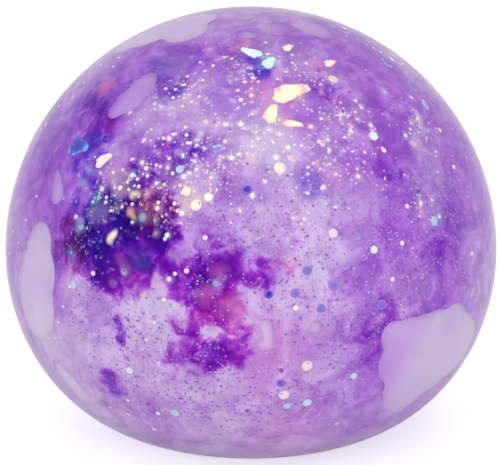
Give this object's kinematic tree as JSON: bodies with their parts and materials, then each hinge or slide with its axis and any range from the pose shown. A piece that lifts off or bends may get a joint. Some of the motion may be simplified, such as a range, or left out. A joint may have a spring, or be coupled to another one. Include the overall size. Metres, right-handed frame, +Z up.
{
  "type": "squishy ball",
  "caption": "Soft round squeeze ball: a clear rubbery skin filled with violet and lilac gel, dark dye clouds, glitter and trapped air. Its top presses down and springs back.",
  "frame": {"origin": "centre of the plug's foot, on the table that the ball rests on", "axes": "+Z up through the crown, -Y towards the front of the picture, +X to its right"},
  "size_m": [0.07, 0.07, 0.0605],
  "materials": {
    "clear_skin": "clear, smooth and glossy",
    "plug": "satin",
    "pearl_gel": "milky, pearly gel",
    "violet_gel": "milky gel",
    "dye": "dark gel",
    "gold": "metallised film",
    "violet_speck": "film",
    "blue_dot": "film",
    "cream": "pearly film",
    "mint": "pearly film",
    "silver": "metallised film",
    "hologram": "holographic film",
    "blue_chip": "holographic film"
  },
  "bodies": {
    "base": {"skin": "clear_skin", "filling_plug": "plug", "pearl_gel": "pearl_gel", "lower_dye_cloud": "dye", "rear_lower_dye_cloud": "dye", "dye_blots": "dye", "base_gold_glitter": "gold", "base_violet_specks": "violet_speck", "base_blue_dots": "blue_dot", "base_cream_discs": "cream", "base_mint_flakes": "mint", "base_silver_hexes": "silver"},
    "crown": {"violet_gel": "violet_gel", "hologram_shards": "hologram", "blue_chips": "blue_chip", "crown_gold_glitter": "gold", "crown_violet_specks": "violet_speck", "crown_blue_dots": "blue_dot", "crown_cream_discs": "cream", "crown_mint_flakes": "mint", "crown_silver_hexes": "silver"},
    "middle": {"left_dye_cloud": "dye", "middle_dye_cloud": "dye", "rear_dye_cloud": "dye", "middle_gold_glitter": "gold", "middle_violet_specks": "violet_speck", "middle_blue_dots": "blue_dot", "middle_cream_discs": "cream", "middle_mint_flakes": "mint", "middle_silver_hexes": "silver"}
  },
  "joints": [
    {"name": "squeeze", "type": "slide", "parent": "base", "child": "crown", "axis": [0, 0, -1], "range_m": [0, 0.018], "stiffness_N_per_m": 800, "springref_m": -0.0015, "deforming": ["skin", "pearl_gel", "violet_gel", "lower_dye_cloud", "rear_lower_dye_cloud", "dye_blots", "left_dye_cloud", "middle_dye_cloud", "rear_dye_cloud"]},
    {"name": "filling_sink", "type": "slide", "parent": "base", "child": "middle", "axis": [0, 0, -1], "range_m": [0, 0.009]}
  ],
  "couplings": [
    {"joint": "filling_sink", "follows": "squeeze", "ratio": 0.5}
  ]
}
